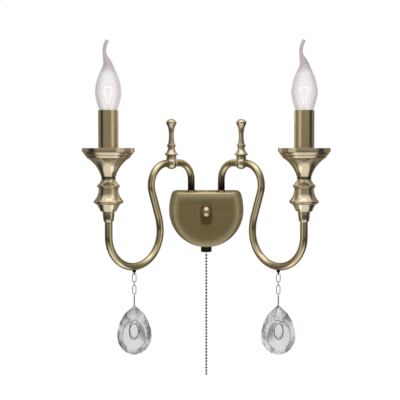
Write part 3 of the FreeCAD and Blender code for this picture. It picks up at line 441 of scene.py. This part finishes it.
def linkChrome():
    made, paint = newFinish("brightWire")
    stain = noise(paint, place(paint), 500.0, 3.0)
    tone = paint.mixColour(stain * 0.5, (0.66, 0.67, 0.68), (0.40, 0.40, 0.41))
    seal(paint, metalShader(paint, tone, 0.10 + stain * 0.1, None, (0.9, 0.9, 0.9)))
    return made


def mouldedPlastic(name, light, dark, scale):
    made, paint = newFinish(name)
    mottle = noise(paint, place(paint), scale, 4.0)
    fine = noise(paint, place(paint), scale * 8, 2.0)
    tone = paint.mixColour(paint.ease(mottle, 0.3, 0.7), light, dark)
    seal(paint, paint.node("ShaderNodeBsdfPrincipled", None,
                           {"Base Color": tone, "Roughness": 0.42 + fine * 0.12,
                            "Normal": bumpOf(paint, 0.12, fine)}))
    return made


def blownGlass():
    # glass too thin to bend the light: nearly clear in the middle, pinkish grey where it is seen edge-on
    look = {"middle": 0.07, "edge": 0.36, "tailFrom": 0.186, "tailTo": 0.200, "tail": 0.30}
    made, paint = newFinish("lampGlass")
    rim = paint.node("ShaderNodeLayerWeight", None, {"Blend": 0.40}).get("Facing")
    wavy = noise(paint, place(paint), 70.0, 2.0)
    tone = paint.mixColour(wavy, (0.66, 0.57, 0.57), (0.58, 0.51, 0.51))
    veil = paint.ease(rim + wavy * 0.10, 0.05, 0.62, look["middle"], look["edge"])
    veil = veil + paint.ease(spotOf(paint).get("Z"), look["tailFrom"], look["tailTo"]) * look["tail"]
    seal(paint, paint.node("ShaderNodeBsdfPrincipled", None,
                           {"Base Color": tone, "Roughness": 0.02 + wavy * 0.05, "IOR": 1.46, "Alpha": veil}))
    return made


def stemGlass():
    made, paint = newFinish("stemGlass")
    cloudy = noise(paint, place(paint), 260.0, 3.0)
    tone = paint.mixColour(cloudy, (1.0, 0.99, 0.97), (0.93, 0.90, 0.87))
    # painted light: the stem glows a little, as if lit
    seal(paint, paint.node("ShaderNodeBsdfPrincipled", None,
                           {"Base Color": tone, "Roughness": 0.12 + cloudy * 0.2, "IOR": 1.5,
                            "Emission Color": tone, "Emission Strength": 0.35}))
    return made


def glowWire():
    made, paint = newFinish("filamentWire")
    along = noise(paint, place(paint), 900.0, 2.0)
    tone = paint.mixColour(along, (1.0, 0.97, 0.93), (0.85, 0.80, 0.76))
    seal(paint, paint.node("ShaderNodeBsdfPrincipled", None,
                           {"Base Color": tone, "Metallic": 0.3, "Roughness": 0.3 + along * 0.2,
                            "Emission Color": tone, "Emission Strength": 0.9}))
    return made


def cutCrystal():
    # grey clear glass; painted dark refraction makes the cut round the oval and patches of the rim almost
    # black
    look = {"patchFrom": 0.52, "patchTo": 0.56, "patch": (0.03, 0.03, 0.035), "cut": (0.008, 0.009, 0.010)}
    made, paint = newFinish("cutCrystal")
    veil = noise(paint, place(paint), 45.0, 2.0)
    patches = noise(paint, place(paint), 75.0, 1.0)
    tone = paint.mixColour(veil, (0.86, 0.88, 0.90), (0.70, 0.72, 0.74))
    # painted dark refraction in patches along the rim
    dark = markOf(paint, "rimmed") * paint.ease(patches, look["patchFrom"], look["patchTo"])
    tone = paint.mixColour(dark * 0.85, tone, look["patch"])
    # painted dark refraction in the cut round the oval
    tone = paint.mixColour(paint.ease(markOf(paint, "cut"), 0.0, 0.55), tone, look["cut"])
    seal(paint, paint.node("ShaderNodeBsdfPrincipled", None,
                           {"Base Color": tone, "Roughness": veil * 0.01, "IOR": 1.54,
                            "Transmission Weight": 1.0}))
    return made


finishes = {"plate_brass": panBrass(), "turned_brass": turnedBrass(),
            "tube_brass": tubeBrass("antiqueTubeBrass", brass["tubeEdge"]),
            "candle_brass": tubeBrass("antiqueCandleBrass", brass["edge"]),
            "root_brass": rootBrass(), "chain_brass": chainBrass(), "dark_metal": darkMetal(),
            "steel": zincSteel(), "link_chrome": linkChrome(),
            "white_plastic": mouldedPlastic("creamPlastic", (0.86, 0.84, 0.78), (0.78, 0.76, 0.70), 90.0),
            "lead_sheath": mouldedPlastic("leadSheath", (0.74, 0.71, 0.62), (0.64, 0.61, 0.52), 60.0),
            "lamp_glass": blownGlass(), "filament_wire": glowWire(), "crystal": cutCrystal()}
slotOf = {row["node"]: row["material_slot"] for row in frame["record"]["subparts"]}
for node, part in frame["nodes"].items():
    part.data.materials.clear()
    part.data.materials.append(finishes[slotOf[node]])


def keepPiece(bm, name, finish, body, nodes=(), crease=32.0, at=None, marks=None):
    bmesh.ops.recalc_face_normals(bm, faces=bm.faces)
    mesh = bpy.data.meshes.new(name)
    bm.to_mesh(mesh)
    bm.free()
    for mark, share in (marks or {}).items():
        layer = mesh.attributes.new(mark, "FLOAT", "POINT")
        layer.data.foreach_set("value", [share(vert.co) for vert in mesh.vertices])
    if at is not None:
        mesh.transform(at)
    mesh.polygons.foreach_set("use_smooth", [True] * len(mesh.polygons))
    mesh.set_sharp_from_angle(angle=math.radians(crease))
    mesh.materials.append(finish)
    piece = bpy.data.objects.new(name, mesh)
    bpy.context.scene.collection.objects.link(piece)
    for halfName, half in halves.items():
        if name.startswith(halfName):
            half.objects.link(piece)
    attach(piece, body)
    if nodes:
        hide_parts(*nodes)
    return piece


def bowed(start, end, bulge, steps=10):
    # points on the arc from start to end that swells by bulge away from the axis
    chord = end - start
    half = chord.length / 2
    if abs(bulge) < tiny:
        return [end]
    radius = (half * half + bulge * bulge) / (2 * abs(bulge))
    outward = Vector((chord.y, -chord.x)).normalized() * math.copysign(1.0, bulge)
    centre = (start + end) / 2 + outward * (abs(bulge) - radius)
    first, last = start - centre, end - centre
    sweep = first.angle_signed(last)
    made = []
    for k in range(1, steps + 1):
        spun = first.copy()
        spun.rotate(Matrix.Rotation(-sweep * k / steps, 2))
        made.append(centre + spun)
    return made


softening = {"mostReach": 0.45, "straightFrom": 158.0, "shares": (0.0, 0.33, 0.67, 1.0)}


def softened(points, size):
    # every sharp corner of the outline gets a small round of the given size
    made = [points[0]]
    for before, corner, after in zip(points, points[1:], points[2:]):
        back, ahead = before - corner, after - corner
        reach = min(size, softening["mostReach"] * back.length, softening["mostReach"] * ahead.length)
        doubled = back.length < tiny or ahead.length < tiny
        if doubled or back.angle(ahead) > math.radians(softening["straightFrom"]):
            made.append(corner)
            continue
        first, last = corner + back.normalized() * reach, corner + ahead.normalized() * reach
        for share in softening["shares"]:
            made.append(first * (1 - share) ** 2 + corner * 2 * share * (1 - share) + last * share ** 2)
    return made + [points[-1]]


def turnedOutline(outline, soft=0.25):
    # outline rows are radius, height and the bulge of the side that leads there, in millimetres
    points = [Vector(outline[0][:2])]
    for row in outline[1:]:
        points += bowed(points[-1], Vector(row[:2]), row[2] if len(row) > 2 else 0.0)
    return softened(points, soft)


def grooveDepth(points, near=1.9, deep=0.6):
    # how far a point of the outline lies inside the points just before and just after it
    known = {}

    def along(here, way):
        gone, widest, k = 0.0, 0.0, here
        while 0 <= k + way < len(points):
            gone += (points[k + way] - points[k]).length
            k += way
            if gone > near:
                break
            widest = max(widest, points[k].x)
        return widest

    def depth(spot):
        flat = Vector((math.hypot(spot.x, spot.y) / mm, spot.z / mm))
        key = (round(flat.x, 2), round(flat.y, 2))
        if key not in known:
            here = min(range(len(points)), key=lambda k: (points[k] - flat).length_squared)
            known[key] = min(max((min(along(here, 1), along(here, -1)) - flat.x) / deep, 0.0), 1.0)
        return known[key]
    return depth


def turnedShape(points, steps=96):
    bm = bmesh.new()
    verts = [bm.verts.new((p.x * mm, 0, p.y * mm)) for p in points]
    edges = [bm.edges.new(pair) for pair in zip(verts, verts[1:])]
    bmesh.ops.spin(bm, geom=verts + edges, cent=(0, 0, 0), axis=(0, 0, 1), angle=2 * math.pi,
                   steps=steps, use_merge=True, use_duplicate=False)
    bmesh.ops.remove_doubles(bm, verts=bm.verts, dist=tiny)
    return bm


class TubeRun:
    # a bent tube in the local XZ plane, made of straight pushes and spins
    def __init__(self, radius, x, z, heading, segments):
        self.bm = bmesh.new()
        self.point = Vector((x, 0, z)) * mm
        self.heading = heading
        facing = self.along().to_track_quat("Z", "Y").to_matrix().to_4x4()
        bmesh.ops.create_circle(self.bm, radius=radius * mm, segments=segments,
                                matrix=Matrix.Translation(self.point) @ facing)
        self.ring = list(self.bm.verts) + list(self.bm.edges)

    def along(self):
        angle = math.radians(self.heading)
        return Vector((math.cos(angle), 0, math.sin(angle)))

    def straight(self, length, steps=1):
        push = self.along() * (length * mm / steps)
        for _ in range(steps):
            edges = [e for e in self.ring if isinstance(e, bmesh.types.BMEdge)]
            made = bmesh.ops.extrude_edge_only(self.bm, edges=edges)["geom"]
            self.ring = [g for g in made if not isinstance(g, bmesh.types.BMFace)]
            verts = [g for g in self.ring if isinstance(g, bmesh.types.BMVert)]
            bmesh.ops.translate(self.bm, verts=verts, vec=push)
            self.point = self.point + push
        return self

    def bend(self, radius, angle, steps):
        # a positive angle bends to the left of the heading, seen from the front
        side = math.copysign(1.0, angle)
        toCentre = math.radians(self.heading + side * 90)
        centre = self.point + Vector((math.cos(toCentre), 0, math.sin(toCentre))) * radius * mm
        made = bmesh.ops.spin(self.bm, geom=self.ring, cent=centre, axis=(0, 1, 0),
                              angle=-math.radians(angle), steps=steps, use_duplicate=False)
        self.ring = [g for g in made["geom_last"] if not isinstance(g, bmesh.types.BMFace)]
        turned = Matrix.Rotation(-math.radians(angle), 3, "Y")
        self.point = centre + turned @ (self.point - centre)
        self.heading += angle
        return self

    def closed(self):
        bmesh.ops.remove_doubles(self.bm, verts=self.bm.verts, dist=seamGap)
        return self.bm

    def walled(self, wall):
        bmesh.ops.recalc_face_normals(self.bm, faces=self.bm.faces)
        bmesh.ops.solidify(self.bm, geom=self.bm.faces[:], thickness=wall * mm)
        return self.bm


print("arms")
tube = {"radius": 5.0, "wall": 1.0, "rootEnd": 20.2, "bendHeight": 45.5, "rootBend": 24.0, "rootStop": 34.7,
        "scrollStart": 42.7, "shoulderReach": 46.0, "shoulder": 30.0, "shoulderTurn": 108.46,
        "leg": 34.41, "backBend": 69.0, "bowl": 44.6, "riser": 27.5, "segments": 40,
        "rootSteps": 24, "shoulderSteps": 30, "backSteps": 10, "bowlSteps": 48}
for name, side in sides:
    run = TubeRun(tube["radius"], 0.0, tube["rootEnd"], 90.0, tube["segments"])
    run.straight(tube["bendHeight"] - tube["rootEnd"], 2)
    run.bend(tube["rootBend"], -90.0, tube["rootSteps"])
    run.straight(tube["rootStop"] - tube["rootBend"])
    keepPiece(run.walled(tube["wall"]), name + "_root_pipe", finishes["root_brass"], "fixture",
              [name + "_root_tube"], at=armPlane(side))
    run = TubeRun(tube["radius"], tube["scrollStart"], arms["archHeight"], 0.0, tube["segments"])
    run.straight(tube["shoulderReach"] - tube["scrollStart"])
    run.bend(tube["shoulder"], -tube["shoulderTurn"], tube["shoulderSteps"]).straight(tube["leg"], 2)
    run.bend(tube["backBend"], tube["shoulderTurn"] - 90.0, tube["backSteps"])
    run.bend(tube["bowl"], 180.0, tube["bowlSteps"]).straight(tube["riser"], 2)
    keepPiece(run.walled(tube["wall"]), name + "_scroll_pipe", finishes["tube_brass"], "fixture",
              [name + "_scroll_tube"], at=armPlane(side))

print("balls, finials and knob")
ball = {"radius": 8.6, "around": 64, "rows": 40}
finialSoft = 0.35
finial = [(6.9, 5.15), (7.2, 5.6), (7.2, 8.8), (6.6, 8.8), (6.6, 10.6), (9.6, 11.4), (9.6, 12.6),
          (4.8, 21.0, -0.85), (4.8, 22.3), (6.2, 23.1), (6.2, 26.2), (4.9, 26.2), (4.9, 50.6, -1.4),
          (7.5, 55.8), (7.5, 57.6), (0.0, 61.9, 1.15)]
knob = {"radius": 7.8, "seat": 4.4, "depth": 26.05, "around": 72, "rows": 48}
for name, side in sides:
    bm = bmesh.new()
    bmesh.ops.create_uvsphere(bm, u_segments=ball["around"], v_segments=ball["rows"],
                              radius=ball["radius"] * mm)
    keepPiece(bm, name + "_arm_ball", finishes["turned_brass"], "fixture",
              [name + "_junction_ball"], crease=80.0,
              at=Matrix.Translation(armPoint(side, arms["ballReach"], arms["archHeight"])))
    outline = turnedOutline(finial, finialSoft)
    keepPiece(turnedShape(outline), name + "_turned_finial", finishes["turned_brass"], "fixture",
              [name + "_finial"], crease=50.0, marks={"groove": grooveDepth(outline)},
              at=Matrix.Translation(armPoint(side, arms["ballReach"], arms["archHeight"])))
bm = bmesh.new()
bmesh.ops.create_uvsphere(bm, u_segments=knob["around"], v_segments=knob["rows"],
                          radius=knob["radius"] * mm)
knobMiddle = knob["depth"] + math.sqrt(knob["radius"] ** 2 - knob["seat"] ** 2)
bmesh.ops.translate(bm, verts=bm.verts, vec=(0, -knobMiddle * mm, 0))
bmesh.ops.bisect_plane(bm, geom=bm.verts[:] + bm.edges[:] + bm.faces[:], plane_co=(0, -knob["depth"] * mm, 0),
                       plane_no=(0, 1, 0), clear_outer=True)
bmesh.ops.holes_fill(bm, edges=[e for e in bm.edges if e.is_boundary])
keepPiece(bm, "ball_knob", finishes["turned_brass"], "plate_knob", ["plate_knob"],
          crease=50.0)

print("candle stands")
standSteps = 112
stand = {  # outline rows and the size of the rounds on their corners
    "ferrule": ([(5.05, -5.4), (5.9, -5.4), (7.2, -0.9, 0.25), (8.0, 8.4), (5.05, 8.4), (5.05, -5.4)], 0.3),
    "cup": ([(5.06, 8.4), (10.7, 8.4), (11.1, 9.6), (15.4, 17.9, -0.3), (5.06, 17.9), (5.06, 8.4)], 0.35),
    "bell": ([(5.06, 17.9), (16.6, 17.9), (19.2, 19.9), (19.2, 21.6), (12.7, 35.5, -1.35), (12.7, 38.5),
              (14.7, 40.2), (14.7, 41.9), (12.1, 44.3), (9.4, 48.6), (9.4, 50.4), (8.8, 51.0), (9.4, 51.6),
              (9.4, 52.4), (8.8, 53.0), (9.4, 53.6), (5.06, 53.6), (5.06, 17.9)], 0.45),
    "drip_pan": ([(5.06, 53.6), (9.5, 53.6), (26.3, 77.0, -2.5), (29.4, 80.8, 0.6), (32.4, 85.2, 0.6),
                  (33.9, 85.2), (33.9, 90.6), (32.7, 90.6), (31.2, 85.2), (25.1, 77.0), (13.05, 64.0, 1.9),
                  (11.45, 64.0), (11.45, 60.5), (5.06, 60.5), (5.06, 53.6)], 0.35),
    "candle_tube": ([(12.1, 64.0), (13.0, 64.0), (13.0, 139.5), (12.1, 139.5), (12.1, 64.0)], 0.2)}
for name, side in sides:
    for part, (rows, soft) in stand.items():
        outline = turnedOutline(rows, soft)
        drawn = part == "candle_tube"
        keepPiece(turnedShape(outline, standSteps), name + "_turned_" + part,
                  finishes["candle_brass" if drawn else "turned_brass"], "fixture",
                  [name + "_" + part], crease=50.0,
                  marks={"groove": grooveDepth(outline)},
                  at=Matrix.Translation(armPoint(side, arms["candleReach"], 0.0)))

print("lamps")
lamp = {"base": 101.0, "rings": 10, "segments": 56, "wall": 0.8, "tipInset": 0.9, "tipRise": 0.5,
        "outline": [(6.2, 15.5), (6.2, 24.0), (6.6, 26.0), (11.6, 38.9, -0.7), (17.5, 62.3, 0.9),
                    (8.0, 93.5, 1.7)],
        "shoulder": 93.5, "shoulderRadius": 8.0, "firstBend": 26.5, "secondBend": 26.0, "firstTurn": 24.4,
        "secondTurn": 56.6, "tailRadius": 2.45, "taper": 1.35, "taperLength": 20.0, "steps": 26}


def ringPlace(x, z, leanLeft, radius):
    return (Matrix.Translation((x * mm, 0, z * mm)) @ Matrix.Rotation(-leanLeft, 4, "Y")
            @ Matrix.Scale(radius * mm, 4))


def tailPlace(turned):
    first = math.radians(min(turned, lamp["firstTurn"]))
    second = math.radians(max(turned - lamp["firstTurn"], 0.0))
    kink = math.radians(lamp["firstTurn"])
    x = -lamp["firstBend"] * (1 - math.cos(first))
    z = lamp["firstBend"] * math.sin(first)
    x -= lamp["secondBend"] * (math.cos(kink - second) - math.cos(kink))
    z += lamp["secondBend"] * (math.sin(kink) - math.sin(kink - second))
    run = lamp["firstBend"] * first + lamp["secondBend"] * second
    left = max(1 - run / lamp["taperLength"], 0.0)
    radius = lamp["tailRadius"] + (lamp["shoulderRadius"] - lamp["tailRadius"]) * left ** lamp["taper"]
    return ringPlace(x, lamp["base"] + lamp["shoulder"] + z, first - second, radius)


def blownShape():
    outline = lamp["outline"]
    points = [Vector(outline[0][:2])]
    for row in outline[1:]:
        points += bowed(points[-1], Vector(row[:2]), row[2] if len(row) > 2 else 0.0, lamp["rings"])
    places = [ringPlace(0.0, lamp["base"] + p.y, 0.0, p.x) for p in points]
    total = lamp["firstTurn"] + lamp["secondTurn"]
    places += [tailPlace(total * k / lamp["steps"]) for k in range(1, lamp["steps"] + 1)]
    bm = bmesh.new()
    bmesh.ops.create_circle(bm, radius=1.0, segments=lamp["segments"], matrix=places[0])
    edges = bm.edges[:]
    for before, after in zip(places, places[1:]):
        made = bmesh.ops.extrude_edge_only(bm, edges=edges)["geom"]
        edges = [g for g in made if isinstance(g, bmesh.types.BMEdge)]
        verts = [g for g in made if isinstance(g, bmesh.types.BMVert)]
        bmesh.ops.transform(bm, matrix=after @ before.inverted(), verts=verts)
    tip = bmesh.ops.edgeloop_fill(bm, edges=edges)["faces"]
    bmesh.ops.recalc_face_normals(bm, faces=bm.faces)
    bmesh.ops.inset_region(bm, faces=tip, thickness=lamp["tipInset"] * mm, depth=lamp["tipRise"] * mm)
    bmesh.ops.recalc_face_normals(bm, faces=bm.faces)
    return bm


stemFinish = stemGlass()
for name, side in sides:
    stood = Matrix.Translation(armPoint(side, arms["candleReach"], 0.0))
    glass = keepPiece(blownShape(), name + "_blown_glass", finishes["lamp_glass"], name + "_lamp",
                      [name + "_bulb_glass"], crease=60.0, at=stood)
    wall = glass.modifiers.new("wall", "SOLIDIFY")
    wall.thickness = lamp["wall"] * mm
    wall.offset = -1.0
    stem = frame["nodes"][name + "_bulb_stem"].data
    stem.materials.clear()
    stem.materials.append(stemFinish)

print("links and drops")
loops = {  # half width, height, wire radius, and the direction that the loop is wide in
    "upper_link": (3.0, 12.3, 0.55, "X"), "link_ring": (3.85, 7.7, 0.55, "Y"),
    "lower_link": (2.8, 13.3, 0.55, "X"), "drop_pin": (4.3, 20.5, 0.5, "Y")}


wireSides = {"around": 12, "bend": 14, "shortest": 0.05}


def wireLoop(halfWidth, height, wire):
    bend = halfWidth - wire
    straight = height - 2 * halfWidth
    run = TubeRun(wire, bend, -halfWidth, 90.0, wireSides["around"])
    for _ in range(2):
        run.bend(bend, 180.0, wireSides["bend"])
        if straight > wireSides["shortest"]:
            run.straight(straight)
    return run.closed()


for name, side in sides:
    for part, (halfWidth, height, wire, along) in loops.items():
        low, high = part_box(name + "_" + part)
        spot = Vector(((low.x + high.x) / 2, (low.y + high.y) / 2, high.z))
        spin = Matrix.Rotation(0 if along == "X" else math.pi / 2, 4, "Z")
        keepPiece(wireLoop(halfWidth, height, wire), name + "_wire_" + part, finishes["link_chrome"],
                  name + "_" + part, [name + "_" + part], crease=70.0,
                  at=Matrix.Translation(spot) @ spin)

drop = {"tableDepth": 7.0, "tableSlack": 0.05, "flatAngle": 0.5, "lip": 0.12, "cutWidth": 0.75,
        "cutDepth": 0.8, "rimFrom": 2.5, "rimTo": 4.5}
for name, side in sides:
    part = name + "_crystal_drop"
    low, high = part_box(part)
    middle = (low.y + high.y) / 2
    bm = bmesh.new()
    bm.from_mesh(frame["nodes"][part].data)
    bmesh.ops.remove_doubles(bm, verts=bm.verts, dist=tiny)
    bmesh.ops.dissolve_limit(bm, angle_limit=math.radians(drop["flatAngle"]), verts=bm.verts, edges=bm.edges)
    tableFrom = (drop["tableDepth"] - drop["tableSlack"]) * mm
    table = [f for f in bm.faces if abs(f.calc_center_median().y - middle) > tableFrom]
    bmesh.ops.inset_individual(bm, faces=table, thickness=drop["lip"] * mm)
    bmesh.ops.inset_individual(bm, faces=table, thickness=drop["cutWidth"] * mm, depth=-drop["cutDepth"] * mm)
    cutSpots = {v.co.to_tuple(6) for f in table for v in f.verts}
    bmesh.ops.inset_individual(bm, faces=table, thickness=drop["cutWidth"] * mm, depth=drop["cutDepth"] * mm)

    def cutShare(spot):
        return 1.0 if spot.to_tuple(6) in cutSpots else 0.0

    def rimmedShare(spot):
        inward = max(drop["rimTo"] - abs(spot.y - middle) / mm, 0.0)
        return min(inward / (drop["rimTo"] - drop["rimFrom"]), 1.0)

    keepPiece(bm, name + "_cut_drop", finishes["crystal"], part, [part], crease=1.0,
              marks={"cut": cutShare, "rimmed": rimmedShare})

print("bead chain")
chain = {"radius": 1.58, "pitch": 4.56, "first": -64.6, "perLength": 13, "depth": 14.5, "link": 0.45,
         "around": 16, "rows": 10}
for k, part in enumerate(("chain_upper", "chain_middle", "chain_lower")):
    bm = bmesh.new()
    first = chain["first"] - k * chain["perLength"] * chain["pitch"]
    low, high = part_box(part)
    for bead in range(chain["perLength"]):
        middle = Vector((0, -chain["depth"], first - bead * chain["pitch"])) * mm
        bmesh.ops.create_uvsphere(bm, u_segments=chain["around"], v_segments=chain["rows"],
                                  radius=chain["radius"] * mm, matrix=Matrix.Translation(middle))
    length = high.z - low.z - chain["radius"] * mm
    rod = Matrix.Translation((0, -chain["depth"] * mm, high.z - length / 2))
    bmesh.ops.create_cone(bm, cap_ends=True, segments=chain["rows"], radius1=chain["link"] * mm,
                          radius2=chain["link"] * mm, depth=length, matrix=rod)
    keepPiece(bm, part + "_beads", finishes["chain_brass"], part, [part], crease=70.0)

print("back pan")
panEdge = {"cell": 2.0, "halfWidth": 54.0, "low": -56.0, "high": 32.0, "fade": 9.0, "holeReach": 20.0,
           "topFrom": 26.0, "topShare": 0.8, "sideShare": 0.45}
bm = bmesh.new()
bm.from_mesh(frame["nodes"]["backplate"].data)
bmesh.ops.remove_doubles(bm, verts=bm.verts, dist=tiny)
front = min(vert.co.y for vert in bm.verts)
face = [f for f in bm.faces if all(abs(v.co.y - front) < tiny for v in f.verts)]
inside = set(face)
rimLine = [e for f in face for e in f.edges if not all(other in inside for other in e.link_faces)]
rimLine = [(e.verts[0].co.copy(), e.verts[1].co.copy()) for e in rimLine]
rimLine = [pair for pair in rimLine if pair[0].xz.length > panEdge["holeReach"] * mm]
geom = face + list({e for f in face for e in f.edges}) + list({v for f in face for v in f.verts})
spans = ((0, -panEdge["halfWidth"], panEdge["halfWidth"]), (2, panEdge["low"], panEdge["high"]))
for axis, low, high in spans:
    direction = Vector((axis == 0, 0, axis == 2))
    for k in range(int((high - low) / panEdge["cell"]) + 1):
        cut = direction * (low + k * panEdge["cell"]) * mm
        geom = bmesh.ops.bisect_plane(bm, geom=geom, plane_co=cut, plane_no=direction)["geom"]


def rimShare(spot):
    # painted highlight: even on the rounded edge and walls, stronger on the top walls, fading inwards over
    # the face
    if spot.y > front + tiny:
        return panEdge["topShare"] if spot.z > panEdge["topFrom"] * mm else panEdge["sideShare"]
    gap = 1.0
    for first, last in rimLine:
        along = last - first
        share = min(max((spot - first).dot(along) / max(along.length_squared, 1e-12), 0.0), 1.0)
        gap = min(gap, (first + along * share - spot).length)
    return max(1.0 - gap / (panEdge["fade"] * mm), 0.0)


pan = keepPiece(bm, "back_pan", finishes["plate_brass"], "fixture", ["backplate"], crease=24.0,
                marks={"rim": rimShare})
weigh = pan.modifiers.new("evenShading", "WEIGHTED_NORMAL")
weigh.keep_sharp = True

print("switch spring")
low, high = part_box("switch_spring")
bm = bmesh.new()
bm.from_mesh(frame["nodes"]["switch_spring"].data)
bmesh.ops.remove_doubles(bm, verts=bm.verts, dist=tiny)
spring = keepPiece(bm, "pull_spring", finishes["steel"], "fixture", ["switch_spring"], crease=60.0)
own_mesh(spring)
